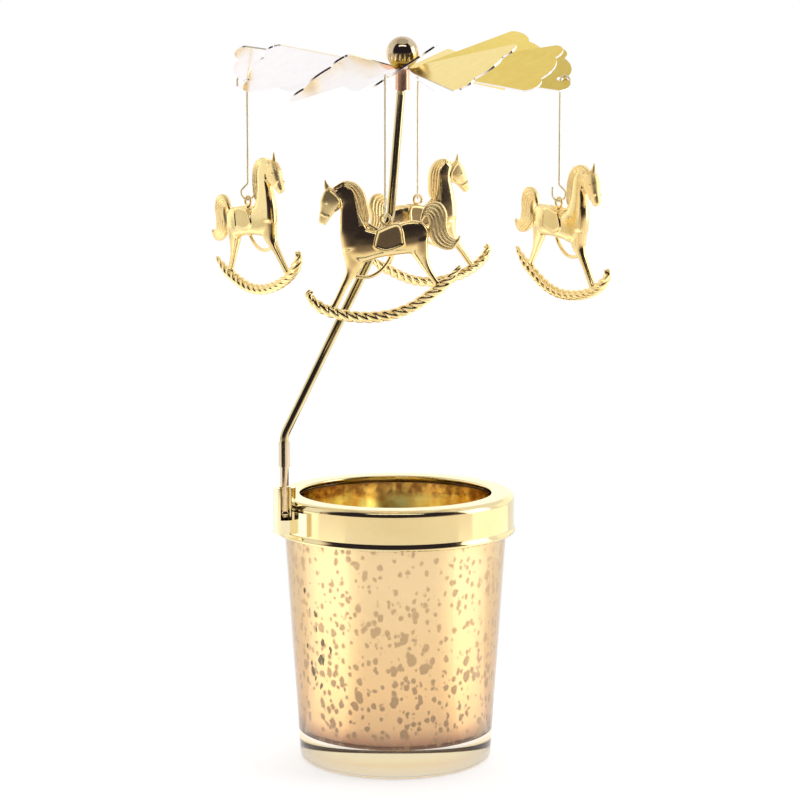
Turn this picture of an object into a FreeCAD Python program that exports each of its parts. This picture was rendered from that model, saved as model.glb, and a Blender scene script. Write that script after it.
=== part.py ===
import FreeCAD, Part
import math
import os

# Spinning candle carousel: a tea-light cup whose collar carries a stem, a heat-driven fan and four rocking horses.
# Millimetres, +Z up, with the origin at the middle of the cup's foot and the front towards -Y.

# Glass cup
CUP_HEIGHT = 61.0
CUP_FOOT_RADIUS = 22.1
CUP_MOUTH_RADIUS = 26.0
CUP_WALL = 2.4
CUP_BASE = 6.4
CUP_FOOT_ROUND = 1.3
CUP_FLOOR_ROUND = 1.6
CUP_RIM_ROUND = 0.7

# Collar over the mouth of the cup
COLLAR_SHEET = 1.0
COLLAR_FIT = 0.3
COLLAR_SKIRT = 9.0
COLLAR_OPENING_RADIUS = 22.0
COLLAR_SHOULDER_ROUND = 1.4
COLLAR_HEM_HEIGHT = 1.4
COLLAR_HEM_PROUD = 0.3
COLLAR_HEM_ROUND = 0.8
COLLAR_EDGE_ROUND = 0.4

# Bracket that holds the stem on the collar, and its pin
STEM_AZIMUTH = 211.0
FIXED_GAP = 0.02
SADDLE_SHEET = 0.8
SADDLE_MARGIN = 0.5
SADDLE_HALF_ANGLE = 14.5
BARREL_RADIUS = 2.5
BARREL_RISE = 3.4
BARREL_LENGTH = 10.4
SLOT_AZIMUTH = 283.0
SLOT_WIDTH = 2.6
SLOT_DEPTH = 7.2
PIN_RADIUS = 0.95
PIN_BALL_RADIUS = 1.15
PIN_STANDOFF = 1.6

# Bent stem with a slip-on ferrule below and a needle point above
ROD_RADIUS = 1.0
FERRULE_RADIUS = 1.25
FERRULE_LENGTH = 5.6
FERRULE_LIFT = 4.7
FERRULE_FIT = 0.1
PIN_IN_FERRULE = 3.0
STEM_SEAT_GAP = 0.05
LOW_BEND_LIFT = 1.4
LOW_BEND_RADIUS = 4.0
HIGH_BEND_DROP = 32.4
HIGH_BEND_REACH = 3.1
HIGH_BEND_RADIUS = 7.0
NEEDLE_LENGTH = 5.0
NEEDLE_TIP_RADIUS = 0.15

# Rotor: fan, bearing cup and ball; two blades are bent up or down by hand, by degrees at the hub's edge
ROTOR_OFFSET = 1.6
FAN_HEIGHT = 158.1
FAN_SHEET = 0.4
FAN_HUB_RADIUS = 4.2
FAN_RADIUS = 38.0
BLADE_COUNT = 12
BLADE_PITCH = 33.0
BLADE_SLIT = 0.5
BLADE_TWIST_END = 7.0
BLADE_LIFTS = {1: 7.4, 8: -4.0}
BLADE_CORNER_INSET = 3.4
SIDE_LOBE_INSET = 0.7
SIDE_LOBE_OFFSET = 6.6
NOTCH_INSET = 1.4
NOTCH_OFFSET = 4.2
BEARING_RADIUS = 1.65
BEARING_BORE = 1.4
BEARING_LENGTH = 4.5
BEARING_CROWN = 0.8
SEAT_RADIUS = 0.6
SEAT_DEPTH = 0.35
SPIGOT_RADIUS = 1.0
SPIGOT_LENGTH = 2.8
BALL_RADIUS = 3.7
BALL_FLAT_RADIUS = 1.4

# Hanger wires, hooked through every third blade
WIRE_RADIUS = 0.25
HANG_INSET = 2.8
HANG_OFFSET = 4.4
HANG_HOLE_RADIUS = 0.75
HOOK_RADIUS = 1.1
HOOK_TAIL = 1.2
HOOK_GAP = 0.2
LOOP_RADIUS = 1.5
LOOP_TIP = 1.6
LOOP_SHOULDER = 0.6
LOOP_NECK = 2.1
LOOP_BEND_RADIUS = 0.8

# Stations, evenly round the fan from the right-hand one: drop from the blade to the horse's eye in millimetres,
# then the compass heading of its nose and its nose-down tilt in degrees
STATION_DROPS = {"right": 27.0, "back": 28.1, "left": 27.0, "front": 29.1}
STATION_HEADINGS = {"right": -55.0, "back": 26.0, "left": -52.0, "front": 180.0}
STATION_TILTS = {"right": 7.0, "back": -1.5, "left": -4.0, "front": 10.4}

# Rocking horse about its eye: x forward, z up, then half the width and half the thickness of each section
HORSE_TORSO = [
    (-8.4, -5.2, 1.2, 0.5),
    (-7.0, -5.0, 2.9, 1.2),
    (-4.4, -4.9, 3.5, 1.6),
    (-1.0, -5.1, 3.1, 1.7),
    (2.4, -5.2, 2.9, 1.7),
    (5.6, -4.8, 3.7, 1.7),
    (8.4, -4.4, 3.2, 1.4),
    (10.0, -4.2, 1.7, 0.7),
]
HORSE_NECK = [
    (6.9, -5.0, 3.3, 1.6),
    (7.1, -1.6, 3.0, 1.5),
    (7.2, 1.2, 2.3, 1.3),
    (7.0, 3.8, 1.9, 1.15),
    (7.2, 6.0, 1.9, 1.1),
    (8.4, 7.9, 1.3, 0.9),
]
HORSE_HEAD = [
    (9.6, 8.0, 0.9, 0.8),
    (10.4, 6.9, 1.7, 1.1),
    (10.9, 5.2, 2.1, 1.3),
    (11.9, 3.6, 1.5, 1.1),
    (12.8, 2.2, 1.1, 0.9),
    (13.4, 1.1, 0.7, 0.6),
]
HORSE_MANE = [
    (9.5, 7.9, 0.65, 0.6),
    (7.2, 8.2, 1.05, 1.0),
    (5.5, 7.3, 1.3, 1.2),
    (4.8, 5.5, 1.4, 1.25),
    (4.6, 3.2, 1.4, 1.25),
    (4.5, 1.1, 1.25, 1.15),
    (4.4, -0.7, 0.75, 0.7),
]
HORSE_TAIL = [
    (-6.6, -2.0, 0.9, 0.7),
    (-8.4, 0.0, 1.0, 0.8),
    (-10.3, -0.2, 1.4, 0.9),
    (-10.9, -2.8, 1.6, 0.95),
    (-10.9, -5.8, 1.6, 0.95),
    (-12.2, -7.9, 1.1, 0.8),
    (-14.8, -6.9, 0.45, 0.4),
]
FRONT_LEG = [(7.6, -6.0, 2.7, 1.4), (8.3, -8.6, 1.9, 1.2), (9.5, -10.6, 1.1, 0.95), (11.3, -12.9, 0.9, 0.8)]
HIND_LEG = [(-5.7, -6.0, 2.6, 1.4), (-6.0, -8.6, 1.8, 1.2), (-6.4, -10.8, 1.1, 0.95), (-7.1, -13.0, 0.8, 0.75)]
FRONT_HOOF_ANGLE = 33.5
HIND_HOOF_ANGLE = 33.0
HOOF_HALF_WIDTH = 1.1
HOOF_HALF_THICKNESS = 0.8
EAR_BASE = (10.5, 7.4)
EAR_TIP = (11.2, 10.4)
EAR_BASE_RADIUS = 0.75
EAR_TIP_RADIUS = 0.15
SADDLE_OUTLINE = [(3.3, -1.5), (0.6, -2.2), (-2.8, -1.3), (-2.7, -6.4), (0.4, -7.4), (3.3, -5.6)]
SADDLE_ROUNDS = [0.6, 3.0, 0.6, 1.4, 2.0, 1.2]
SADDLE_HALF_THICKNESS = 2.0
BELLY_BAR = [(9.8, -10.4), (6.3, -12.2), (3.0, -11.6), (-0.4, -7.4)]
BELLY_BAR_BEND = 2.2
BELLY_BAR_RADIUS = 0.45
ROCKER_CENTRE = (2.5, 1.3)
ROCKER_RADIUS = 21.7
ROCKER_THICKNESS = 2.5
ROCKER_HALF_ANGLE = 48.5
ROCKER_KNOB_RADIUS = 1.4
EYE_TUBE_RADIUS = 0.325
EYE_HOLE_RADIUS = 0.75
EYE_GAP = 0.15
EYE_FOOT_RADIUS = 0.55
EYE_FOOT_DEPTH = 1.6

# Heights and radii that follow from the sizes above
COLLAR_TOP = CUP_HEIGHT + COLLAR_SHEET
COLLAR_BOTTOM = COLLAR_TOP - COLLAR_SKIRT
COLLAR_INNER = CUP_MOUTH_RADIUS + COLLAR_FIT
COLLAR_OUTER = COLLAR_INNER + COLLAR_SHEET
BARREL_TOP = COLLAR_TOP + BARREL_RISE
BARREL_BOTTOM = BARREL_TOP - BARREL_LENGTH
SOCKET_FLOOR = BARREL_TOP - SLOT_DEPTH
PIN_CIRCLE = COLLAR_OUTER + PIN_STANDOFF
FERRULE_BOTTOM = BARREL_TOP + FERRULE_LIFT
PIN_TOP = FERRULE_BOTTOM + PIN_IN_FERRULE
FAN_UNDERSIDE = FAN_HEIGHT - FAN_SHEET / 2
FAN_TOP = FAN_HEIGHT + FAN_SHEET / 2
NEEDLE_TOP = FAN_UNDERSIDE - BEARING_CROWN + SEAT_DEPTH - STEM_SEAT_GAP
PITCH = math.radians(BLADE_PITCH)
HANG_RADIUS = FAN_RADIUS - HANG_INSET
HANG_HEIGHT = FAN_HEIGHT - HANG_OFFSET * math.sin(PITCH)

UP = FreeCAD.Vector(0, 0, 1)
ORIGIN = FreeCAD.Vector(0, 0, 0)


def profile_point(radius, height):
    """A point of a turned or flat profile, in the XZ plane."""
    return FreeCAD.Vector(radius, 0, height)


def rounded_edges(corners, radii, closed):
    """Straight runs through the corners, with a tangent arc of the given radius at each one (0 for sharp)."""
    count = len(corners)
    turns = []
    for index, corner in enumerate(corners):
        at_end = not closed and index in (0, count - 1)
        if radii[index] == 0 or at_end:
            turns.append((corner, None, corner))
            continue
        back = (corners[index - 1] - corner).normalize()
        ahead = (corners[(index + 1) % count] - corner).normalize()
        half = back.getAngle(ahead) / 2
        reach = radii[index] / math.tan(half)
        bisector = (back + ahead).normalize()
        middle = corner + bisector * (radii[index] / math.sin(half) - radii[index])
        turns.append((corner + back * reach, middle, corner + ahead * reach))
    edges = []
    for index, (arrive, middle, leave) in enumerate(turns):
        if middle is not None:
            edges.append(Part.Arc(arrive, middle, leave).toShape())
        if closed or index + 1 < count:
            following = turns[(index + 1) % count][0]
            if leave.distanceToPoint(following) > 1e-6:
                edges.append(Part.LineSegment(leave, following).toShape())
    return edges


def turned(corners, radii):
    """A solid turned about the Z axis from a rounded profile."""
    points = [profile_point(*corner) for corner in corners]
    face = Part.Face(Part.Wire(rounded_edges(points, radii, True)))
    return face.revolve(ORIGIN, UP, 360)


def tube_along(edges, radius):
    """A round bar swept along tangent edges."""
    path = Part.Wire(edges)
    first = path.OrderedEdges[0]
    start = first.valueAt(first.FirstParameter)
    direction = first.tangentAt(first.FirstParameter)
    section = Part.Wire(Part.Circle(start, direction, radius).toShape())
    return path.makePipeShell([section], True, False)


def swollen_form(sections):
    """A smooth limb lofted through ellipses that stand square to its middle line in the XZ plane."""
    places = [profile_point(section[0], section[1]) for section in sections]
    wires = []
    for index, (x, z, half_width, half_thickness) in enumerate(sections):
        before = places[max(index - 1, 0)]
        after = places[min(index + 1, len(places) - 1)]
        along = (after - before).normalize()
        across = FreeCAD.Vector(along.z, 0, -along.x)
        widest = places[index] + across * half_width
        thickest = places[index] + FreeCAD.Vector(0, half_thickness, 0)
        wires.append(Part.Wire(Part.Ellipse(widest, thickest, places[index]).toShape()))
    return Part.makeLoft(wires, True, False)


def fused(shapes):
    """One clean solid from shapes that overlap."""
    return shapes[0].multiFuse(shapes[1:]).removeSplitter()


def glass_cup():
    """Tapered glass with a thick base, a rounded foot and a rounded rim with a narrow flat land."""
    slope = (CUP_MOUTH_RADIUS - CUP_FOOT_RADIUS) / CUP_HEIGHT
    floor_radius = CUP_FOOT_RADIUS + slope * CUP_BASE - CUP_WALL
    corners = [
        (0, 0),
        (CUP_FOOT_RADIUS, 0),
        (CUP_MOUTH_RADIUS, CUP_HEIGHT),
        (CUP_MOUTH_RADIUS - CUP_WALL, CUP_HEIGHT),
        (floor_radius, CUP_BASE),
        (0, CUP_BASE),
    ]
    radii = [0, CUP_FOOT_ROUND, CUP_RIM_ROUND, CUP_RIM_ROUND, CUP_FLOOR_ROUND, 0]
    return turned(corners, radii)


def collar_ring():
    """Spun collar: a flat flange on the rim, a rounded shoulder and a skirt with a flared hem."""
    hem = COLLAR_OUTER + COLLAR_HEM_PROUD
    outline = [
        (COLLAR_OPENING_RADIUS, CUP_HEIGHT, COLLAR_EDGE_ROUND),
        (COLLAR_INNER, CUP_HEIGHT, 0),
        (COLLAR_INNER, COLLAR_BOTTOM, COLLAR_EDGE_ROUND),
        (hem, COLLAR_BOTTOM, COLLAR_EDGE_ROUND),
        (hem, COLLAR_BOTTOM + COLLAR_HEM_HEIGHT / 2, COLLAR_HEM_ROUND),
        (COLLAR_OUTER, COLLAR_BOTTOM + COLLAR_HEM_HEIGHT, COLLAR_HEM_ROUND),
        (COLLAR_OUTER, COLLAR_TOP, COLLAR_SHOULDER_ROUND),
        (COLLAR_OPENING_RADIUS, COLLAR_TOP, COLLAR_EDGE_ROUND),
    ]
    return turned([corner[:2] for corner in outline], [corner[2] for corner in outline])


def at_stem(shape):
    """Turns a shape made along +X about the cup's axis to the stem's side."""
    shape.rotate(ORIGIN, UP, STEM_AZIMUTH)
    return shape


def stem_bracket():
    """Barrel with a round socket that is open to the front, on a curved saddle that lies on the collar's skirt."""
    axis_point = FreeCAD.Vector(PIN_CIRCLE, 0, BARREL_BOTTOM)
    barrel = Part.makeCylinder(BARREL_RADIUS, BARREL_LENGTH, axis_point, UP)
    inner = COLLAR_OUTER + FIXED_GAP
    barrel = barrel.cut(Part.makeCylinder(inner, COLLAR_TOP + FIXED_GAP))
    saddle_top = COLLAR_TOP - COLLAR_SHOULDER_ROUND - SADDLE_MARGIN
    saddle_bottom = COLLAR_BOTTOM + COLLAR_HEM_HEIGHT + SADDLE_MARGIN
    corners = [
        profile_point(inner, saddle_bottom),
        profile_point(inner + SADDLE_SHEET, saddle_bottom),
        profile_point(inner + SADDLE_SHEET, saddle_top),
        profile_point(inner, saddle_top),
    ]
    saddle = Part.Face(Part.makePolygon(corners + corners[:1])).revolve(ORIGIN, UP, 2 * SADDLE_HALF_ANGLE)
    saddle.rotate(ORIGIN, UP, -SADDLE_HALF_ANGLE)
    body = fused([barrel, saddle])
    floor = FreeCAD.Vector(PIN_CIRCLE, 0, SOCKET_FLOOR)
    bore = Part.makeCylinder(PIN_BALL_RADIUS + FIXED_GAP, BARREL_LENGTH, floor, UP)
    slot = Part.makeBox(2 * BARREL_RADIUS, SLOT_WIDTH, BARREL_LENGTH, floor - FreeCAD.Vector(0, SLOT_WIDTH / 2, 0))
    slot.rotate(floor, UP, SLOT_AZIMUTH - STEM_AZIMUTH)
    return at_stem(body.cut(bore).cut(slot))


def socket_pin():
    """Upright pin that stands in the barrel on a ball foot and carries the stem on its flat top."""
    centre = FreeCAD.Vector(PIN_CIRCLE, 0, SOCKET_FLOOR + PIN_BALL_RADIUS + FIXED_GAP)
    shank = Part.makeCylinder(PIN_RADIUS, PIN_TOP - centre.z, centre, UP)
    return at_stem(fused([shank, Part.makeSphere(PIN_BALL_RADIUS, centre)]))


def stem_ferrule():
    """Sleeve on the foot of the rod, bored to slip over the pin below and to grip the rod above."""
    foot = FreeCAD.Vector(PIN_CIRCLE, 0, FERRULE_BOTTOM)
    rod_foot = FreeCAD.Vector(PIN_CIRCLE, 0, PIN_TOP + STEM_SEAT_GAP)
    sleeve = Part.makeCylinder(FERRULE_RADIUS, FERRULE_LENGTH, foot, UP)
    pin_bore = Part.makeCylinder(PIN_RADIUS + FERRULE_FIT, PIN_IN_FERRULE + STEM_SEAT_GAP, foot, UP)
    rod_bore = Part.makeCylinder(ROD_RADIUS + FIXED_GAP, FERRULE_LENGTH, rod_foot, UP)
    return at_stem(sleeve.cut(pin_bore).cut(rod_bore))


def stem_rod():
    """Rod bent twice in one upright plane, from the ferrule to a needle point under the fan."""
    azimuth = math.radians(STEM_AZIMUTH)
    foot = FreeCAD.Vector(PIN_CIRCLE * math.cos(azimuth), PIN_CIRCLE * math.sin(azimuth), PIN_TOP + STEM_SEAT_GAP)
    needle = FreeCAD.Vector(ROTOR_OFFSET, 0, NEEDLE_TOP)
    inward = FreeCAD.Vector(needle.x - foot.x, needle.y - foot.y, 0).normalize()
    low_bend = FreeCAD.Vector(foot.x, foot.y, FERRULE_BOTTOM + FERRULE_LENGTH + LOW_BEND_LIFT)
    high_bend = needle - inward * HIGH_BEND_REACH - UP * HIGH_BEND_DROP
    lean = (needle - high_bend).normalize()
    shoulder = needle - lean * NEEDLE_LENGTH
    radii = [0, LOW_BEND_RADIUS, HIGH_BEND_RADIUS, 0]
    bar = tube_along(rounded_edges([foot, low_bend, high_bend, shoulder], radii, False), ROD_RADIUS)
    point = Part.makeCone(ROD_RADIUS, NEEDLE_TIP_RADIUS, NEEDLE_LENGTH, shoulder, lean)
    return fused([bar, point])


def at_rotor(shape):
    """Moves a shape made about the Z axis onto the rotor's axis."""
    shape.translate(FreeCAD.Vector(ROTOR_OFFSET, 0, 0))
    return shape


def bearing_cup():
    """Closed sleeve that turns on the needle, with a conical seat and a spigot up through the fan."""
    crown = FAN_UNDERSIDE - BEARING_CROWN
    corners = [
        (0, crown + SEAT_DEPTH),
        (NEEDLE_TIP_RADIUS + STEM_SEAT_GAP, crown + SEAT_DEPTH),
        (SEAT_RADIUS, crown),
        (BEARING_BORE, crown),
        (BEARING_BORE, FAN_UNDERSIDE - BEARING_LENGTH),
        (BEARING_RADIUS, FAN_UNDERSIDE - BEARING_LENGTH),
        (BEARING_RADIUS, FAN_UNDERSIDE),
        (SPIGOT_RADIUS, FAN_UNDERSIDE),
        (SPIGOT_RADIUS, FAN_UNDERSIDE + SPIGOT_LENGTH),
        (0, FAN_UNDERSIDE + SPIGOT_LENGTH),
    ]
    return at_rotor(turned(corners, [0] * len(corners)))


def finial_ball():
    """Ball with a flat foot on the fan and a blind bore for the spigot."""
    centre = FAN_TOP + math.sqrt(BALL_RADIUS**2 - BALL_FLAT_RADIUS**2)
    ball = Part.makeSphere(BALL_RADIUS, FreeCAD.Vector(0, 0, centre))
    foot_room = Part.makeCylinder(BALL_RADIUS, BALL_RADIUS, FreeCAD.Vector(0, 0, FAN_TOP - BALL_RADIUS))
    bore = Part.makeCylinder(SPIGOT_RADIUS + FIXED_GAP, FAN_UNDERSIDE + SPIGOT_LENGTH + FIXED_GAP)
    return at_rotor(ball.cut(foot_room).cut(bore))


def blade_half_width(radius):
    """Half the width of a flat blade at a radius, less half the slit beside it."""
    return radius * math.tan(math.pi / BLADE_COUNT) - BLADE_SLIT / 2


def blade_section(radius, pitch):
    """Upright rectangle across a blade, turned by a pitch about the blade's own radius."""
    half = blade_half_width(radius)
    thick = FAN_SHEET / 2
    corners = [(-half, -thick), (half, -thick), (half, thick), (-half, thick)]
    points = []
    for across, above in corners:
        side = across * math.cos(pitch) - above * math.sin(pitch)
        height = across * math.sin(pitch) + above * math.cos(pitch)
        points.append(FreeCAD.Vector(radius, side, height))
    return Part.makePolygon(points + points[:1])


def lifted(shape, lift):
    """Bends a shape up by an angle about the edge of the hub."""
    shape.rotate(profile_point(FAN_HUB_RADIUS, 0), FreeCAD.Vector(0, -1, 0), lift)
    return shape


def blade(hung, lift):
    """One twisted blade along +X: a warped neck and a flat leaf with a three-lobed end, holed where it is hung."""
    corner_radius = FAN_RADIUS - BLADE_CORNER_INSET
    side_tip = (FAN_RADIUS - SIDE_LOBE_INSET, SIDE_LOBE_OFFSET)
    notch = (FAN_RADIUS - NOTCH_INSET, NOTCH_OFFSET)
    root = (BLADE_TWIST_END, blade_half_width(BLADE_TWIST_END))
    corner = (corner_radius, blade_half_width(corner_radius))
    low = [FreeCAD.Vector(x, -y, 0) for x, y in (root, corner, side_tip, notch)]
    high = [FreeCAD.Vector(x, y, 0) for x, y in (root, corner, side_tip, notch)]
    tip = FreeCAD.Vector(FAN_RADIUS, 0, 0)
    edges = [
        Part.LineSegment(low[0], low[1]).toShape(),
        Part.Arc(low[1], low[2], low[3]).toShape(),
        Part.Arc(low[3], tip, high[3]).toShape(),
        Part.Arc(high[3], high[2], high[1]).toShape(),
        Part.LineSegment(high[1], high[0]).toShape(),
        Part.LineSegment(high[0], low[0]).toShape(),
    ]
    leaf = Part.Face(Part.Wire(edges)).extrude(UP * FAN_SHEET)
    leaf.translate(UP * (-FAN_SHEET / 2))
    if hung:
        hole_place = FreeCAD.Vector(HANG_RADIUS, -HANG_OFFSET, -FAN_SHEET)
        leaf = leaf.cut(Part.makeCylinder(HANG_HOLE_RADIUS, 2 * FAN_SHEET, hole_place, UP))
    leaf.rotate(ORIGIN, FreeCAD.Vector(1, 0, 0), BLADE_PITCH)
    neck_ends = [blade_section(FAN_HUB_RADIUS, 0), lifted(blade_section(BLADE_TWIST_END, PITCH), lift)]
    neck = Part.makeLoft(neck_ends, True, True)
    return [neck, lifted(leaf, lift)]


def fan_wheel():
    """Fan cut from one sheet: a flat hub and a ring of blades twisted out of it."""
    corner_radius = FAN_HUB_RADIUS / math.cos(math.pi / BLADE_COUNT)
    corners = []
    for index in range(BLADE_COUNT):
        turn = (2 * index + 1) * math.pi / BLADE_COUNT
        corners.append(FreeCAD.Vector(corner_radius * math.cos(turn), corner_radius * math.sin(turn), -FAN_SHEET / 2))
    hub = Part.Face(Part.makePolygon(corners + corners[:1])).extrude(UP * FAN_SHEET)
    hub = hub.cut(Part.makeCylinder(SPIGOT_RADIUS + FIXED_GAP, 2 * FAN_SHEET, UP * -FAN_SHEET, UP))
    pieces = [hub]
    for index in range(BLADE_COUNT):
        hung = index % (BLADE_COUNT // len(STATION_DROPS)) == 0
        for piece in blade(hung, BLADE_LIFTS.get(index, 0)):
            piece.rotate(ORIGIN, UP, index * 360 / BLADE_COUNT)
            pieces.append(piece)
    fan = fused(pieces)
    fan.translate(UP * FAN_HEIGHT)
    return at_rotor(fan)


def at_station(shape, azimuth):
    """Carries a shape made along +X round the rotor's axis to a station, beside the blade's middle line."""
    shape.translate(FreeCAD.Vector(HANG_RADIUS, -HANG_OFFSET * math.cos(PITCH), 0))
    shape.rotate(ORIGIN, UP, azimuth)
    return at_rotor(shape)


def hanger(azimuth, drop):
    """Wire with a hook over the blade's edge at its top and an open loop through the horse's eye below."""
    sheet_rise = FAN_SHEET / 2 / math.cos(PITCH) + WIRE_RADIUS * math.tan(PITCH)
    crown = HANG_HEIGHT + sheet_rise + HOOK_GAP + WIRE_RADIUS
    spring_line = crown - HOOK_RADIUS
    eye = HANG_HEIGHT - drop
    centre = eye + LOOP_RADIUS
    tail_end = profile_point(2 * HOOK_RADIUS, spring_line - HOOK_TAIL)
    hook_start = profile_point(2 * HOOK_RADIUS, spring_line)
    hook_top = profile_point(HOOK_RADIUS, crown)
    hook_end = profile_point(0, spring_line)
    edges = [
        Part.LineSegment(tail_end, hook_start).toShape(),
        Part.Arc(hook_start, hook_top, hook_end).toShape(),
    ]
    shoulder = profile_point(LOOP_RADIUS, centre + LOOP_SHOULDER)
    neck = profile_point(0, centre + LOOP_NECK)
    outer = profile_point(LOOP_RADIUS, centre)
    inner = profile_point(-LOOP_RADIUS, centre)
    edges += rounded_edges([hook_end, neck, shoulder, outer], [0, LOOP_BEND_RADIUS, LOOP_BEND_RADIUS, 0], False)
    edges.append(Part.Arc(outer, profile_point(0, eye), inner).toShape())
    edges.append(Part.LineSegment(inner, inner + UP * LOOP_TIP).toShape())
    return at_station(tube_along(edges, WIRE_RADIUS), azimuth)


def hoof(angle):
    """Section at a horse's foot, just inside the rocker's upper face at an angle from straight down."""
    turn = math.radians(angle)
    reach = ROCKER_RADIUS - ROCKER_THICKNESS / 4
    x = ROCKER_CENTRE[0] + reach * math.sin(turn)
    z = ROCKER_CENTRE[1] - reach * math.cos(turn)
    return (x, z, HOOF_HALF_WIDTH, HOOF_HALF_THICKNESS)


def rocker_point(angle):
    """Point on the rocker's middle line at an angle from straight down, forward for a positive angle."""
    turn = math.radians(angle)
    x = ROCKER_CENTRE[0] + ROCKER_RADIUS * math.sin(turn)
    return profile_point(x, ROCKER_CENTRE[1] - ROCKER_RADIUS * math.cos(turn))


def rocker():
    """Curved runner with a knob at each end."""
    back = rocker_point(-ROCKER_HALF_ANGLE)
    front = rocker_point(ROCKER_HALF_ANGLE)
    runner = tube_along([Part.Arc(back, rocker_point(0), front).toShape()], ROCKER_THICKNESS / 2)
    return [runner] + [Part.makeSphere(ROCKER_KNOB_RADIUS, place) for place in (back, front)]


def saddle_pad():
    """Saddle with its flaps, standing a little proud of both sides of the body."""
    points = [profile_point(*corner) for corner in SADDLE_OUTLINE]
    face = Part.Face(Part.Wire(rounded_edges(points, SADDLE_ROUNDS, True)))
    pad = face.extrude(FreeCAD.Vector(0, 2 * SADDLE_HALF_THICKNESS, 0))
    pad.translate(FreeCAD.Vector(0, -SADDLE_HALF_THICKNESS, 0))
    return pad


def hanging_eye():
    """Ring on the saddle, whose upper inside rests on the hanger's loop, with a short foot."""
    ring_radius = EYE_HOLE_RADIUS + EYE_TUBE_RADIUS
    drop = EYE_HOLE_RADIUS - WIRE_RADIUS - EYE_GAP
    across = FreeCAD.Vector(0, 1, 0)
    ring = Part.makeTorus(ring_radius, EYE_TUBE_RADIUS, profile_point(0, -drop), across)
    foot_top = profile_point(0, -drop - ring_radius)
    foot = Part.makeCylinder(EYE_FOOT_RADIUS, EYE_FOOT_DEPTH, foot_top, UP * -1)
    return [ring, foot]


def horse_figure():
    """Rocking horse with the origin in its eye, facing +X."""
    ear_base = profile_point(*EAR_BASE)
    ear_line = profile_point(*EAR_TIP) - ear_base
    ear = Part.makeCone(EAR_BASE_RADIUS, EAR_TIP_RADIUS, ear_line.Length, ear_base, ear_line)
    bar_points = [profile_point(*point) for point in BELLY_BAR]
    bar = tube_along(rounded_edges(bar_points, [BELLY_BAR_BEND] * len(bar_points), False), BELLY_BAR_RADIUS)
    forms = [
        swollen_form(HORSE_TORSO),
        swollen_form(HORSE_NECK),
        swollen_form(HORSE_HEAD),
        swollen_form(HORSE_MANE),
        swollen_form(HORSE_TAIL),
        swollen_form(FRONT_LEG + [hoof(FRONT_HOOF_ANGLE)]),
        swollen_form(HIND_LEG + [hoof(-HIND_HOOF_ANGLE)]),
        saddle_pad(),
        ear,
        bar,
    ]
    return fused(forms + rocker() + hanging_eye())


def placed_horse(figure, azimuth, drop, heading, nose_down):
    """A copy of the horse hung at a station, with its nose turned and dipped."""
    horse = figure.copy()
    horse.rotate(ORIGIN, FreeCAD.Vector(0, 1, 0), nose_down)
    horse.rotate(ORIGIN, UP, heading - azimuth)
    horse.translate(UP * (HANG_HEIGHT - drop))
    return at_station(horse, azimuth)


def main():
    os.makedirs("parts", exist_ok=True)
    pieces = {
        "glass_cup": glass_cup(),
        "collar_ring": collar_ring(),
        "stem_bracket": stem_bracket(),
        "socket_pin": socket_pin(),
        "stem_ferrule": stem_ferrule(),
        "stem_rod": stem_rod(),
        "bearing_cup": bearing_cup(),
        "fan_wheel": fan_wheel(),
        "finial_ball": finial_ball(),
    }
    figure = horse_figure()
    for index, (name, drop) in enumerate(STATION_DROPS.items()):
        azimuth = index * 360 / len(STATION_DROPS)
        pieces["hanger_" + name] = hanger(azimuth, drop)
        pieces["horse_" + name] = placed_horse(figure, azimuth, drop, STATION_HEADINGS[name], STATION_TILTS[name])
    for name, shape in pieces.items():
        shape.exportStep("parts/" + name + ".step")


main()
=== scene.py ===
import bpy
import math
from mathutils import Matrix, Vector


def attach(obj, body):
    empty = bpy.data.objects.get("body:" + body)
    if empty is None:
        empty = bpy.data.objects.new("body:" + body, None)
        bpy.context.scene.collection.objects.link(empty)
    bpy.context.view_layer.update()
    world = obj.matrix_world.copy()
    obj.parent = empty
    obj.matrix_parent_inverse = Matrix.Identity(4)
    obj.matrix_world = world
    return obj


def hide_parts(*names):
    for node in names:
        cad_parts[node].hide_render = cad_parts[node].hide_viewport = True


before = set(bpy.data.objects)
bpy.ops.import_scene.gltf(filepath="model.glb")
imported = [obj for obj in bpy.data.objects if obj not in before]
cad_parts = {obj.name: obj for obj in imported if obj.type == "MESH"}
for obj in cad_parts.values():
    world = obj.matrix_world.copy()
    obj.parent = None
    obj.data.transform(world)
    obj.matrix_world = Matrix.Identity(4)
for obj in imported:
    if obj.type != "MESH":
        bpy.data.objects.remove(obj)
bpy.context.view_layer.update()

# Millimetres below become metres in the scene
MM = 0.001

# Steps between two points of a line, sides round a tube, and the angle in degrees at which an edge stays hard
LINE_STEPS = 8
ROPE_STEPS = 24
LIMB_SIDES = 24
CORD_SIDES = 12
HAIR_SIDES = 16
ROPE_SIDES = 14
HARD_ANGLE = 40

# Glass cup and its mirror lining, as in the part's source
CUP_HEIGHT = 61.0
CUP_FOOT_RADIUS = 22.1
CUP_MOUTH_RADIUS = 26.0
CUP_SLOPE = (CUP_MOUTH_RADIUS - CUP_FOOT_RADIUS) / CUP_HEIGHT
CUP_WALL = 2.4
CUP_BASE = 6.4
CUP_FOOT_ROUND = 1.3
CUP_FLOOR_ROUND = 1.6
CUP_RIM_ROUND = 0.7
CUP_SEGMENTS = 192
LINING_BITE = 0.03
LINING_THICKNESS = 0.1
LINING_RIM_DROP = 0.9
LINING_FLOOR_NORMAL = -0.9
# Painted shade under the collar on the lining's inner face: a brown band that fades in between these depths
# below the rim, in millimetres
RIM_SHADE_FOOT = 4.5
RIM_SHADE_TOP = 3.0

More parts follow.
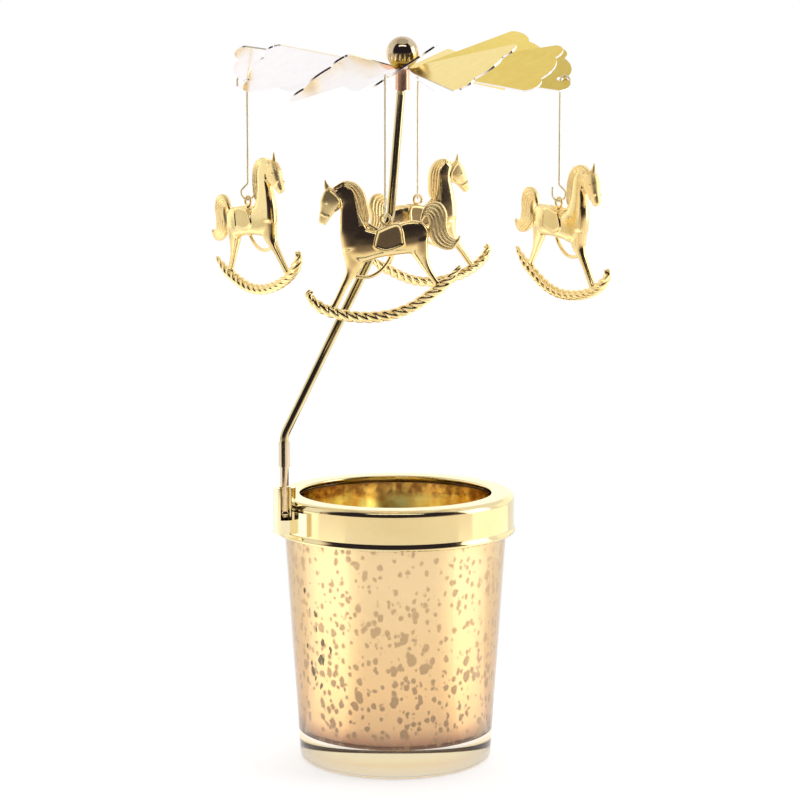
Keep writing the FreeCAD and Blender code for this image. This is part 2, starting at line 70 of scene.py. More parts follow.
# Hanging stations, as in the part's source: eye in metres, heading of the nose and nose-down tilt in degrees
STATIONS = {
    "front": ((-0.0020902, -0.0352, 0.1266036), 180.0, 10.4),
    "right": ((0.0368, -0.0036902, 0.1287036), -55.0, 7.0),
    "back": ((0.0052902, 0.0352, 0.1276036), 26.0, -1.5),
    "left": ((-0.0336, 0.0036902, 0.1287036), -52.0, -4.0),
}

# Horse about its eye, in millimetres: x forward, z up, half the width and half the thickness of each section
TORSO = [
    (-8.4, -5.2, 1.2, 0.5),
    (-7.0, -5.0, 2.9, 1.2),
    (-4.4, -4.9, 3.5, 1.6),
    (-1.0, -5.1, 3.1, 1.7),
    (2.4, -5.2, 2.9, 1.7),
    (5.6, -4.8, 3.7, 1.7),
    (8.4, -4.4, 3.2, 1.4),
    (10.0, -4.2, 1.7, 0.7),
]
NECK = [
    (6.9, -5.0, 3.3, 1.6),
    (7.1, -1.6, 3.0, 1.5),
    (7.2, 1.2, 2.3, 1.3),
    (7.0, 3.8, 1.9, 1.15),
    (7.2, 6.0, 1.9, 1.1),
    (8.4, 7.9, 1.3, 0.9),
]
HEAD = [
    (9.6, 8.0, 0.9, 0.8),
    (10.4, 6.9, 1.7, 1.1),
    (10.9, 5.2, 2.15, 1.3),
    (11.9, 3.6, 1.5, 1.1),
    (12.8, 2.2, 1.1, 0.9),
    (13.4, 1.1, 0.75, 0.7),
]
FRONT_LEG = [
    (7.6, -6.0, 2.7, 1.4),
    (8.3, -8.6, 1.9, 1.2),
    (9.5, -10.6, 1.1, 0.95),
    (11.3, -12.9, 0.8, 0.8),
    (13.6, -16.0, 0.75, 0.75),
    (14.4, -17.0, 0.9, 0.8),
]
HIND_LEG = [
    (-5.7, -6.0, 2.6, 1.4),
    (-6.0, -8.6, 1.8, 1.2),
    (-6.4, -10.8, 1.1, 0.95),
    (-7.1, -13.0, 0.75, 0.75),
    (-8.4, -15.8, 0.65, 0.7),
    (-9.2, -16.9, 0.8, 0.75),
]
EAR = [(10.6, 7.4, 0.6, 0.5), (10.9, 8.3, 0.65, 0.45), (11.1, 10.2, 0.12, 0.12)]
BELLY_BAR = [(9.6, -10.4), (8.4, -11.1), (5.7, -11.7), (3.2, -11.0), (1.2, -9.4), (-0.1, -7.6)]
BELLY_BAR_RADIUS = 0.42

# Hair: each pair is the outer and inner edge of a lock that is split into strands. A strand's half width is a
# share of the gap to the next one, with a least value, and the strands at a lock's edges are thinner.
HAIR_WIDTH_SHARE = 0.62
HAIR_LEAST_WIDTH = 0.3
HAIR_EDGE_THINNING = 0.14
HAIR_END = 0.1
MANE_OUTER = [(9.6, 8.2), (7.0, 9.0), (5.0, 8.1), (3.8, 6.0), (3.5, 3.3), (3.5, 0.9), (4.0, -0.6)]
MANE_INNER = [(9.4, 7.6), (7.5, 7.9), (6.1, 6.9), (5.7, 5.0), (5.6, 3.0), (5.3, 1.2), (4.8, -0.2)]
MANE_STRANDS = 4
MANE_THICKNESS = 1.15
TAIL_OUTER = [
    (-7.4, -1.6), (-8.5, 0.4), (-10.0, 1.2), (-11.7, 0.6), (-12.4, -1.4),
    (-12.1, -4.0), (-12.5, -6.2), (-13.7, -7.3), (-14.5, -7.1), (-14.9, -6.5),
]
TAIL_INNER = [
    (-7.4, -2.2), (-8.4, -1.1), (-9.2, -1.3), (-9.5, -2.8), (-9.2, -4.8),
    (-9.6, -6.9), (-11.0, -8.4), (-12.8, -8.9), (-14.2, -7.9), (-14.8, -6.9),
]
TAIL_STRANDS = 5
TAIL_THICKNESS = 0.9

# Saddle, harness lines and eye
SADDLE_FLAP = [(2.0, -2.4), (3.2, -5.1), (2.6, -6.1), (0.6, -6.8), (-2.5, -6.3), (-2.9, -5.4), (-2.5, -1.8)]
SADDLE_HALF_THICKNESS = 1.85
PIPING_RADIUS = 0.24
SEAT_RADIUS = 0.45
SEAT_LINE = [(-2.9, -1.7), (-1.5, -1.8), (0.3, -2.3), (1.8, -2.3), (3.1, -1.4), (4.2, -0.4)]
CHEEK_LINE = [(10.3, 7.9), (9.4, 6.8), (8.7, 5.4), (8.9, 4.0), (10.2, 3.2)]
NOSE_LINE = [(13.4, 3.6), (12.6, 2.9), (11.5, 2.4)]
CHEEK_SIDE = 1.05
NOSE_SIDE = 0.95
HARNESS_RADIUS = 0.2
HORSE_EYE = (11.6, 5.4)
HORSE_EYE_SIDE = 1.1
HORSE_EYE_RADIUS = 0.34

# Rope-twist rocker: its line, its twist, and the relative size of each end with the swell away from it
ROCKER_LINE = [
    (18.3, -12.4), (18.9, -13.4), (17.2, -16.0), (13.4, -18.4), (8.2, -20.0),
    (3.0, -20.5), (-2.0, -19.7), (-6.9, -17.6), (-11.0, -15.3), (-13.9, -12.9),
]
ROPE_STRANDS = 3
ROPE_LEAD = 6.2
ROPE_OFFSET = 0.62
STRAND_RADIUS = 0.64
ROPE_FRONT_SIZE = 0.55
ROPE_FRONT_SWELL = 4.0
ROPE_BACK_SIZE = 0.35
ROPE_BACK_SWELL = 4.5

# Ring on the saddle
RING_HOLE_RADIUS = 0.75
RING_TUBE_RADIUS = 0.325
RING_DROP = 0.35
RING_FOOT_RADIUS = 0.5
RING_FOOT_BOTTOM = -3.2

# Cast horse: fineness in millimetres and rounds of softening, of the plain body and then of all its relief
BODY_VOXEL = 0.16
BODY_SOFTENING = 26
CAST_VOXEL = 0.1
CAST_SOFTENING = 8
BODY_SQUARENESS = 3.4
LEG_SQUARENESS = 2.4
EAR_SQUARENESS = 2.0

# Limits of the fine relief on the head, the mane and the tail
HEAD_BACK = 9.3
HEAD_FOOT = 0.4
MANE_FRONT = 5.7
MANE_FOOT = -0.7
TAIL_FRONT = -8.3
TAIL_FOOT = -9.6

# Worn spots of the lining, in three sizes: metres to a cell, then the spot's reach and soft edge in cells
SPOT_KINDS = [(0.0038, 0.38, 0.06), (0.0022, 0.54, 0.08), (0.0014, 0.62, 0.12)]
SPOT_VARIETY = 0.5
STREAK_KIND = (0.0017, 0.44, 0.06)
STREAK_PATCH_CENTRE = (-0.0168, -0.0150, 0.032)
STREAK_PATCH_REACH = (0.0066, 0.016, 0.021)

# Depth in metres of the polishing marks on metal and of the ripple in the glass
MARK_DEPTH = 0.00001
RIPPLE_DEPTH = 0.0004

# Stage in metres: the surroundings' brightness as a light and as seen, the floor, and the reach from the
# cup's middle over which the floor's shadow runs out into white
WORLD_FILL = 0.8
WORLD_SEEN = 1.0
FLOOR_HALF = 3.0
FLOOR_DROP = 0.00005
FLOOR_GLOW = 0.58
SHADOW_FULL = 0.03
SHADOW_END = 0.12
PATCH_COLUMNS = 32
STRIP_HEIGHT = 0.0004
LAMP_TARGET = (0, 0, 0.09)

# Dark card: its profile of radius and height in metres, its compass angles in degrees from +X towards +Y, and
# where its tones run from dark to pale, as slopes seen from a height on the object's axis
CARD_PROFILE = [(0.30, 0.002), (0.75, 0.002), (0.75, 1.9)]
CARD_ANGLES = (-166, -14)
CARD_TONES = [(0.0, (0.026, 0.022, 0.036)), (0.4, (0.46, 0.38, 0.35)), (1.0, (1.08, 1.0, 0.9))]
CARD_CENTRE_HEIGHT = 0.11
CARD_SIDE_DIP = -0.12
CARD_FADE_DOWN = (0.0, -0.36)
CARD_FADE_ASIDE = (0.82, 0.98)

# Camera: place in metres, tilt in degrees up from straight down, lens and sensor in millimetres
CAMERA_PLACE = (0.00105, -0.540, 0.1537)
CAMERA_TILT = 82.55
CAMERA_LENS = 107.1
CAMERA_SENSOR = 36.0


# Mesh helpers
def new_piece(name, points, faces):
    """A smooth-shaded mesh object from points and faces."""
    mesh = bpy.data.meshes.new(name)
    mesh.from_pydata(points, [], faces)
    mesh.validate()
    mesh.update()
    mesh.polygons.foreach_set("use_smooth", [True] * len(mesh.polygons))
    mesh.set_sharp_from_angle(angle=math.radians(HARD_ANGLE))
    piece = bpy.data.objects.new(name, mesh)
    bpy.context.scene.collection.objects.link(piece)
    return piece


def smooth_through(points, steps):
    """Points on a smooth curve through the given points, with the same number of values in each."""
    result = []
    last = len(points) - 1
    for index in range(last):
        before = points[max(index - 1, 0)]
        start = points[index]
        end = points[index + 1]
        after = points[min(index + 2, last)]
        for step in range(steps):
            share = step / steps
            weights = (
                -0.5 * share + share * share - 0.5 * share**3,
                1 - 2.5 * share * share + 1.5 * share**3,
                0.5 * share + 2 * share * share - 1.5 * share**3,
                -0.5 * share * share + 0.5 * share**3,
            )
            point = []
            for values in zip(before, start, end, after):
                point.append(sum(weight * value for weight, value in zip(weights, values)))
            result.append(tuple(point))
    result.append(tuple(points[last]))
    return result


def rounded_profile(corners, radii, steps=10):
    """Corners of an open profile with an arc of the given radius at each (0 for sharp)."""
    result = []
    for index, corner in enumerate(corners):
        radius = radii[index]
        if radius == 0 or index in (0, len(corners) - 1):
            result.append(corner)
            continue
        here = Vector(corner)
        back = (Vector(corners[index - 1]) - here).normalized()
        ahead = (Vector(corners[index + 1]) - here).normalized()
        half = back.angle(ahead) / 2
        reach = radius / math.tan(half)
        centre = here + (back + ahead).normalized() * (radius / math.sin(half))
        first = here + back * reach - centre
        last = here + ahead * reach - centre
        for step in range(steps + 1):
            spoke = first.slerp(last, step / steps).normalized()
            result.append(tuple(centre + spoke * radius))
    return result


def turned(name, profile, segments):
    """A closed solid turned about Z from a profile in millimetres that starts and ends on the axis."""
    ring_points = profile[1:-1]
    points = [(0, 0, profile[0][1] * MM)]
    faces = []
    for radius, height in ring_points:
        for segment in range(segments):
            turn = 2 * math.pi * segment / segments
            points.append((radius * MM * math.cos(turn), radius * MM * math.sin(turn), height * MM))
    points.append((0, 0, profile[-1][1] * MM))
    end = len(points) - 1
    for segment in range(segments):
        following = (segment + 1) % segments
        faces.append((0, 1 + following, 1 + segment))
        for ring in range(len(ring_points) - 1):
            low = 1 + ring * segments
            high = low + segments
            faces.append((low + segment, low + following, high + following, high + segment))
        top = 1 + (len(ring_points) - 1) * segments
        faces.append((top + segment, top + following, end))
    return new_piece(name, points, faces)


def add_tube(form, centres, widths, depths, sides, squareness=2.0):
    """Adds a closed tube to a form: widths lie in the figure's own plane and depths across it."""
    points, faces = form
    start = len(points)
    across_figure = Vector((0, 1, 0))
    for index, centre in enumerate(centres):
        before = centres[max(index - 1, 0)]
        after = centres[min(index + 1, len(centres) - 1)]
        along = (Vector(after) - Vector(before)).normalized()
        in_plane = along.cross(across_figure).normalized()
        sideways = in_plane.cross(along).normalized()
        for side in range(sides):
            turn = 2 * math.pi * side / sides
            wide = math.copysign(abs(math.cos(turn)) ** (2 / squareness), math.cos(turn))
            deep = math.copysign(abs(math.sin(turn)) ** (2 / squareness), math.sin(turn))
            point = Vector(centre) + in_plane * wide * widths[index]
            points.append(tuple(point + sideways * deep * depths[index]))
    for ring in range(len(centres) - 1):
        low = start + ring * sides
        for side in range(sides):
            following = (side + 1) % sides
            faces.append((low + side, low + following, low + sides + following, low + sides + side))
    last = start + (len(centres) - 1) * sides
    faces.append(tuple(start + side for side in reversed(range(sides))))
    faces.append(tuple(last + side for side in range(sides)))


def add_limb(form, sections, squareness):
    """Adds a swollen limb through sections of x, z, half width and half thickness."""
    rings = smooth_through(sections, LINE_STEPS)
    centres = [(ring[0], 0, ring[1]) for ring in rings]
    widths = [ring[2] for ring in rings]
    depths = [ring[3] for ring in rings]
    add_tube(form, centres, widths, depths, LIMB_SIDES, squareness)


def add_line(form, line, radius, side=0.0):
    """Adds a round cord along a line of x, z points at a distance to one side of the figure."""
    centres = [(x, side, z) for x, z in smooth_through(line, LINE_STEPS)]
    radii = [radius] * len(centres)
    add_tube(form, centres, radii, radii, CORD_SIDES)


def add_lock(form, outer, inner, strands, thickness):
    """Adds a lock of hair, split into strands that run side by side between its two edges."""
    outer_path = smooth_through(outer, LINE_STEPS)
    inner_path = smooth_through(inner, LINE_STEPS)
    for strand in range(strands):
        share = strand / (strands - 1)
        line = [tuple(a + (b - a) * share for a, b in zip(one, two)) for one, two in zip(outer, inner)]
        centres = [(x, 0, z) for x, z in smooth_through(line, LINE_STEPS)]
        fullness = 1 - HAIR_EDGE_THINNING * abs(share - 0.5)
        widths = []
        depths = []
        for index, (one, two) in enumerate(zip(outer_path, inner_path)):
            along = index / (len(centres) - 1)
            swell = math.sin(math.pi * (HAIR_END + (1 - 2 * HAIR_END) * along)) ** 0.5
            gap = math.dist(one, two) / (strands - 1)
            widths.append(max(HAIR_WIDTH_SHARE * gap, HAIR_LEAST_WIDTH) * swell)
            depths.append(thickness * swell * fullness)
        add_tube(form, centres, widths, depths, HAIR_SIDES)


def add_slab(form, outline, half_thickness):
    """Adds a flat slab of an outline in the figure's plane."""
    points, faces = form
    start = len(points)
    count = len(outline)
    for side in (-half_thickness, half_thickness):
        for x, z in outline:
            points.append((x, side, z))
    far_start = start + count
    faces.append(tuple(start + corner for corner in range(count)))
    faces.append(tuple(far_start + corner for corner in reversed(range(count))))
    for corner in range(count):
        following = (corner + 1) % count
        faces.append((start + following, start + corner, far_start + corner, far_start + following))


def add_ball(form, centre, radius, rings=8, sides=12):
    """Adds a small ball."""
    centres = []
    radii = []
    for ring in range(1, rings):
        turn = math.pi * ring / rings
        centres.append((centre[0], centre[1], centre[2] - radius * math.cos(turn)))
        radii.append(radius * math.sin(turn))
    add_tube(form, centres, radii, radii, sides)


def add_ring(form, centre, ring_radius, tube_radius, sides=12, steps=40):
    """Adds a ring that stands in the figure's plane."""
    points, faces = form
    start = len(points)
    for step in range(steps):
        turn = 2 * math.pi * step / steps
        for side in range(sides):
            roll = 2 * math.pi * side / sides
            reach = ring_radius + tube_radius * math.cos(roll)
            x = centre[0] + reach * math.cos(turn)
            z = centre[1] + reach * math.sin(turn)
            points.append((x, tube_radius * math.sin(roll), z))
    for step in range(steps):
        low = start + step * sides
        high = start + ((step + 1) % steps) * sides
        for side in range(sides):
            following = (side + 1) % sides
            faces.append((low + side, high + side, high + following, low + following))


def add_rope(form):
    """Adds the rocker: strands twisted round its line, thinner at both ends."""
    path = smooth_through(ROCKER_LINE, ROPE_STEPS)
    travel = [0.0]
    for one, two in zip(path, path[1:]):
        travel.append(travel[-1] + math.dist(one, two))
    for strand in range(ROPE_STRANDS):
        centres = []
        radii = []
        for index, (x, z) in enumerate(path):
            before = path[max(index - 1, 0)]
            after = path[min(index + 1, len(path) - 1)]
            along = Vector((after[0] - before[0], after[1] - before[1])).normalized()
            share = travel[index] / travel[-1]
            front_size = ROPE_FRONT_SIZE + ROPE_FRONT_SWELL * share
            back_size = ROPE_BACK_SIZE + ROPE_BACK_SWELL * (1 - share)
            size = min(1.0, front_size, back_size)
            turn = 2 * math.pi * (travel[index] / ROPE_LEAD + strand / ROPE_STRANDS)
            out = ROPE_OFFSET * size * math.cos(turn)
            aside = ROPE_OFFSET * size * math.sin(turn)
            centres.append((x + along.y * out, aside, z - along.x * out))
            radii.append(STRAND_RADIUS * size)
        add_tube(form, centres, radii, radii, ROPE_SIDES)


def skin(form, voxel, softening):
    """One softened skin over every tube of a form, as a mesh in the form's own units."""
    rough = new_piece("rough_form", form[0], form[1])
    remesh = rough.modifiers.new("skin", "REMESH")
    remesh.mode = "VOXEL"
    remesh.voxel_size = voxel
    soften = rough.modifiers.new("soften", "SMOOTH")
    soften.factor = 0.5
    soften.iterations = softening
    depsgraph = bpy.context.evaluated_depsgraph_get()
    mesh = bpy.data.meshes.new_from_object(rough.evaluated_get(depsgraph))
    bpy.data.objects.remove(rough)
    return mesh


def body_form():
    """The plain body, softened so that the legs, neck and head flow out of it."""
    form = ([], [])
    for limb in (TORSO, NECK, HEAD):
        add_limb(form, limb, BODY_SQUARENESS)
    for limb in (FRONT_LEG, HIND_LEG):
        add_limb(form, limb, LEG_SQUARENESS)
    body = skin(form, BODY_VOXEL, BODY_SOFTENING)
    points = [tuple(vertex.co) for vertex in body.vertices]
    faces = [tuple(polygon.vertices) for polygon in body.polygons]
    return points, faces


def has_fine_relief(place):
    """True on the head, the tail and the mane, where fine relief dulls the polish."""
    if place.x > HEAD_BACK:
        return place.z > HEAD_FOOT
    if place.x < TAIL_FRONT:
        return place.z > TAIL_FOOT
    return place.z > MANE_FOOT and place.x < MANE_FRONT


def horse_mesh():
    """The cast horse about its eye, in metres: every form joined and softened into one skin."""
    form = body_form()
    add_limb(form, EAR, EAR_SQUARENESS)
    add_line(form, BELLY_BAR, BELLY_BAR_RADIUS)
    add_lock(form, MANE_OUTER, MANE_INNER, MANE_STRANDS, MANE_THICKNESS)
    add_lock(form, TAIL_OUTER, TAIL_INNER, TAIL_STRANDS, TAIL_THICKNESS)
    add_slab(form, SADDLE_FLAP, SADDLE_HALF_THICKNESS)
    add_line(form, SEAT_LINE, SEAT_RADIUS)
    saddle_rim = SADDLE_FLAP + SADDLE_FLAP[:1]
    for side in (-1, 1):
        add_line(form, saddle_rim, PIPING_RADIUS, side * SADDLE_HALF_THICKNESS)
        add_line(form, CHEEK_LINE, HARNESS_RADIUS, side * CHEEK_SIDE)
        add_line(form, NOSE_LINE, HARNESS_RADIUS, side * NOSE_SIDE)
        add_ball(form, (HORSE_EYE[0], side * HORSE_EYE_SIDE, HORSE_EYE[1]), HORSE_EYE_RADIUS)
    add_rope(form)
    ring_radius = RING_HOLE_RADIUS + RING_TUBE_RADIUS
    add_ring(form, (0, -RING_DROP), ring_radius, RING_TUBE_RADIUS)
    add_line(form, [(0, -RING_DROP - ring_radius), (0, RING_FOOT_BOTTOM)], RING_FOOT_RADIUS)
    mesh = skin(form, CAST_VOXEL, CAST_SOFTENING)
    mesh.materials.clear()
    for material in (HORSE_GOLD, RELIEF_GOLD):
        mesh.materials.append(material)
    for polygon in mesh.polygons:
        polygon.material_index = int(has_fine_relief(polygon.center))
    mesh.transform(Matrix.Scale(MM, 4))
    mesh.polygons.foreach_set("use_smooth", [True] * len(mesh.polygons))
    return mesh


# Materials
def new_material(name):
    """A node material, with its node tree and its shader."""
    material = bpy.data.materials.new(name)
    material.use_nodes = True
    tree = material.node_tree
    shader = tree.nodes["Principled BSDF"]
    return material, tree, shader


def add_node(tree, kind, **settings):
    """A node with its settings; a setting with a socket's name fills that socket."""
    node = tree.nodes.new(kind)
    for key, value in settings.items():
        if hasattr(node, key):
            setattr(node, key, value)
        else:
            node.inputs[key.replace("_", " ")].default_value = value
    return node


def ramp(tree, source, stops):
    """A colour ramp fed by a value, with stops of place and colour."""
    node = tree.nodes.new("ShaderNodeValToRGB")
    elements = node.color_ramp.elements
    while len(elements) < len(stops):
        elements.new(0.5)
    for element, (place, colour) in zip(elements, stops):
        element.position = place
        element.color = (*colour, 1)
    tree.links.new(source, node.inputs["Fac"])
    return node.outputs["Color"]


def spread(tree, source, low, high):
    """A value from 0 to 1 carried to a range."""
    node = add_node(tree, "ShaderNodeMapRange", To_Min=low, To_Max=high)
    tree.links.new(source, node.inputs["Value"])
    return node.outputs["Result"]


def object_noise(tree, scale, detail=3.0, stretch=(1, 1, 1)):
    """Noise fixed to the object, in cycles per metre."""
    place = add_node(tree, "ShaderNodeTexCoord")
    mapping = add_node(tree, "ShaderNodeMapping", Scale=stretch)
    noise = add_node(tree, "ShaderNodeTexNoise", Scale=scale, Detail=detail)
    tree.links.new(place.outputs["Object"], mapping.inputs["Vector"])
    tree.links.new(mapping.outputs["Vector"], noise.inputs["Vector"])
    return noise.outputs["Fac"]


def bump(tree, shader, source, strength, distance):
    """Fine relief from a value, with its depth in metres."""
    node = add_node(tree, "ShaderNodeBump", Strength=strength, Distance=distance)
    tree.links.new(source, node.inputs["Height"])
    tree.links.new(node.outputs["Normal"], shader.inputs["Normal"])


def metal(name, light, dark, smooth, rough, scale, stretch=(1, 1, 1)):
    """Plated metal: slightly uneven colour, patchy gloss and faint polishing marks."""
    material, tree, shader = new_material(name)
    shader.inputs["Metallic"].default_value = 1.0
    clouds = object_noise(tree, scale, 4.0)
    marks = object_noise(tree, scale * 9, 2.0, stretch)
    tree.links.new(ramp(tree, clouds, [(0.3, dark), (0.7, light)]), shader.inputs["Base Color"])
    tree.links.new(spread(tree, marks, smooth, rough), shader.inputs["Roughness"])
    bump(tree, shader, marks, 0.03, MARK_DEPTH)
    return material


def fan_material():
    """Sheet that is gold on its upward faces and pale silver on its downward faces and cut edges."""
    material, tree, shader = new_material("fan_sheet")
    place = add_node(tree, "ShaderNodeTexCoord")
    parts = add_node(tree, "ShaderNodeSeparateXYZ")
    tree.links.new(place.outputs["Normal"], parts.inputs["Vector"])
    brushing = object_noise(tree, 500, 3.0, (1, 1, 0.2))
    gold = ramp(tree, brushing, [(0.3, (0.96, 0.72, 0.17)), (0.7, (1.0, 0.78, 0.21))])
    bright = ramp(tree, brushing, [(0.3, (0.93, 0.89, 0.90)), (0.7, (0.97, 0.93, 0.94))])
    upward = add_node(tree, "ShaderNodeMapRange", From_Min=0.5, From_Max=0.6)
    tree.links.new(parts.outputs["Z"], upward.inputs["Value"])
    on_top = upward.outputs["Result"]
    tree.links.new(mixed(tree, on_top, bright, gold), shader.inputs["Base Color"])
    tree.links.new(spread(tree, on_top, 0.13, 0.2), shader.inputs["Roughness"])
    tree.links.new(spread(tree, on_top, 1.0, 0.85), shader.inputs["Metallic"])
    bump(tree, shader, brushing, 0.02, MARK_DEPTH)
    return material


def glass_material():
    """Clear pressed glass with a faint ripple; its thick base carries a painted reflection of the lining,
    greyer and darker towards the foot.
    """
    material, tree, shader = new_material("clear_glass")
    height = height_share(tree, 0, CUP_BASE * MM)
    # Painted reflection of the lining in the base: grey-brown at the foot, then amber and yellow, nearly
    # clear above
    lining_reflection_tints = [
        (0.30, (0.74, 0.66, 0.54)),
        (0.52, (0.84, 0.66, 0.40)),
        (0.76, (1.0, 0.84, 0.42)),
        (0.97, (1.0, 0.84, 0.42)),
        (1.0, (1.0, 0.985, 0.965)),
    ]
    tree.links.new(ramp(tree, height, lining_reflection_tints), shader.inputs["Base Color"])
    shader.inputs["Transmission Weight"].default_value = 1.0
    shader.inputs["Roughness"].default_value = 0.0
    shader.inputs["IOR"].default_value = 1.5
    ripple = object_noise(tree, 60, 1.0)
    bump(tree, shader, ripple, 0.04, RIPPLE_DEPTH)
    return material


def spots(tree, place, thinning, cell, size, edge):
    """Mask of spots, one to a cell and of many sizes: 1 inside a spot, and fewer where thinning is high."""
    cells = add_node(tree, "ShaderNodeTexVoronoi", Scale=1 / cell)
    chance = add_node(tree, "ShaderNodeSeparateColor")
    shrunk = add_node(tree, "ShaderNodeMath", operation="MULTIPLY_ADD")
    shrunk.inputs[1].default_value = SPOT_VARIETY
    thinned = add_node(tree, "ShaderNodeMath", operation="ADD")
    mask = add_node(tree, "ShaderNodeMapRange", From_Min=size, From_Max=size - edge)
    tree.links.new(place, cells.inputs["Vector"])
    tree.links.new(cells.outputs["Color"], chance.inputs["Color"])
    tree.links.new(chance.outputs["Red"], shrunk.inputs[0])
    tree.links.new(cells.outputs["Distance"], shrunk.inputs[2])
    tree.links.new(shrunk.outputs["Value"], thinned.inputs[0])
    tree.links.new(thinning, thinned.inputs[1])
    tree.links.new(thinned.outputs["Value"], mask.inputs["Value"])
    return mask.outputs["Result"]


def greatest(tree, values):
    """The greatest of several values."""
    total = values[0]
    for value in values[1:]:
        greater = add_node(tree, "ShaderNodeMath", operation="MAXIMUM")
        tree.links.new(total, greater.inputs[0])
        tree.links.new(value, greater.inputs[1])
        total = greater.outputs["Value"]
    return total


def warped_place(tree, scale, reach, stretch):
    """Object coordinates pushed about by noise, so that shapes drawn on them come out uneven."""
    place = add_node(tree, "ShaderNodeTexCoord")
    noise = add_node(tree, "ShaderNodeTexNoise", Scale=scale, Detail=1.0)
    push = add_node(tree, "ShaderNodeVectorMath", operation="MULTIPLY_ADD")
    push.inputs[1].default_value = (reach, reach, reach)
    mapping = add_node(tree, "ShaderNodeMapping", Scale=stretch)
    tree.links.new(place.outputs["Object"], noise.inputs["Vector"])
    tree.links.new(noise.outputs["Color"], push.inputs[0])
    tree.links.new(place.outputs["Object"], push.inputs[2])
    tree.links.new(push.outputs["Vector"], mapping.inputs["Vector"])
    return mapping.outputs["Vector"]


def height_share(tree, low, high):
    """0 at a low height of the object and 1 at a high one, in metres."""
    place = add_node(tree, "ShaderNodeTexCoord")
    parts = add_node(tree, "ShaderNodeSeparateXYZ")
    share = add_node(tree, "ShaderNodeMapRange", From_Min=low, From_Max=high)
    tree.links.new(place.outputs["Object"], parts.inputs["Vector"])
    tree.links.new(parts.outputs["Z"], share.inputs["Value"])
    return share.outputs["Result"]


def near_place(tree, centre, reach):
    """1 at a place on the object, falling to 0 at a reach along each axis, in metres."""
    place = add_node(tree, "ShaderNodeTexCoord")
    away = add_node(tree, "ShaderNodeVectorMath", operation="SUBTRACT")
    away.inputs[1].default_value = centre
    scaled = add_node(tree, "ShaderNodeVectorMath", operation="DIVIDE")
    scaled.inputs[1].default_value = reach
    distance = add_node(tree, "ShaderNodeVectorMath", operation="LENGTH")
    share = add_node(tree, "ShaderNodeMapRange", interpolation_type="SMOOTHSTEP", From_Min=1.0, From_Max=0.5)
    tree.links.new(place.outputs["Object"], away.inputs[0])
    tree.links.new(away.outputs["Vector"], scaled.inputs[0])
    tree.links.new(scaled.outputs["Vector"], distance.inputs[0])
    tree.links.new(distance.outputs["Value"], share.inputs["Value"])
    return share.outputs["Result"]


def mixed(tree, share, first, second):
    """A colour mixed by a share with a second one, which may be given by its values."""
    node = add_node(tree, "ShaderNodeMix", data_type="RGBA")
    tree.links.new(share, node.inputs["Factor"])
    tree.links.new(first, node.inputs["A"])
    if isinstance(second, tuple):
        node.inputs["B"].default_value = (*second, 1)
    else:
        tree.links.new(second, node.inputs["B"])
    return node.outputs["Result"]


def lining_material():
    """Mirror lining seen through the glass: pale gold leaf with worn tan spots, and painted shade that
    darkens both towards the floor.
    """
    material, tree, shader = new_material("speckled_mirror")
    place = warped_place(tree, 700, 0.0009, (1, 1, 0.75))
    thinning = spread(tree, object_noise(tree, 80, 2.0, (1, 1, 0.6)), 0.30, -0.16)
    spotted = greatest(tree, [spots(tree, place, thinning, *kind) for kind in SPOT_KINDS])
    patch = near_place(tree, STREAK_PATCH_CENTRE, STREAK_PATCH_REACH)
    long_place = warped_place(tree, 500, 0.0014, (1, 1, 0.5))
    streaked = spots(tree, long_place, spread(tree, patch, 0.7, 0.02), *STREAK_KIND)
    height = height_share(tree, CUP_BASE * MM, CUP_HEIGHT * MM)
    # Painted shade: leaf and spots darken towards the cup's floor, the leaf near black-brown at the corner
    leaf_tones_with_floor_shade = [
        (0.0, (0.20, 0.10, 0.07)),
        (0.035, (0.46, 0.25, 0.14)),
        (0.09, (0.78, 0.50, 0.25)),
        (0.24, (0.95, 0.63, 0.30)),
        (0.7, (1.0, 0.75, 0.40)),
    ]
    worn_tones_with_floor_shade = [(0.0, (0.48, 0.29, 0.15)), (0.4, (0.79, 0.54, 0.27)), (0.9, (0.96, 0.68, 0.37))]
    worn = mixed(tree, spotted, ramp(tree, height, leaf_tones_with_floor_shade), ramp(tree, height, worn_tones_with_floor_shade))
    colour = mixed(tree, streaked, worn, (0.12, 0.09, 0.03))
    tree.links.new(colour, shader.inputs["Base Color"])
    tree.links.new(spread(tree, spotted, 0.9, 0.6), shader.inputs["Metallic"])
    tree.links.new(spread(tree, spotted, 0.28, 0.5), shader.inputs["Roughness"])
    return material


def inside_material():
    """Inner face of the lining, seen through the mouth: amber mirror with bright yellow patches of painted
    reflection, and a brown band of painted shade under the rim.
    """
    material, tree, shader = new_material("amber_mirror")
    shader.inputs["Metallic"].default_value = 1.0
    clouds = object_noise(tree, 130, 3.0)
    flecks = object_noise(tree, 520, 2.0)
    # Painted reflections in the amber as bright yellow patches; painted shade near the rim as mottled brown
    amber_and_reflection_tones = [(0.40, (0.84, 0.58, 0.25)), (0.46, (0.98, 0.80, 0.38)), (0.54, (1.0, 0.98, 0.62))]
    rim_shade_tones = [(0.40, (0.40, 0.23, 0.12)), (0.62, (0.97, 0.74, 0.34))]
    near_rim = height_share(tree, (CUP_HEIGHT - RIM_SHADE_FOOT) * MM, (CUP_HEIGHT - RIM_SHADE_TOP) * MM)
    colour = mixed(tree, near_rim, ramp(tree, clouds, amber_and_reflection_tones), ramp(tree, flecks, rim_shade_tones))
    tree.links.new(colour, shader.inputs["Base Color"])
    tree.links.new(spread(tree, clouds, 0.06, 0.2), shader.inputs["Roughness"])
    return material


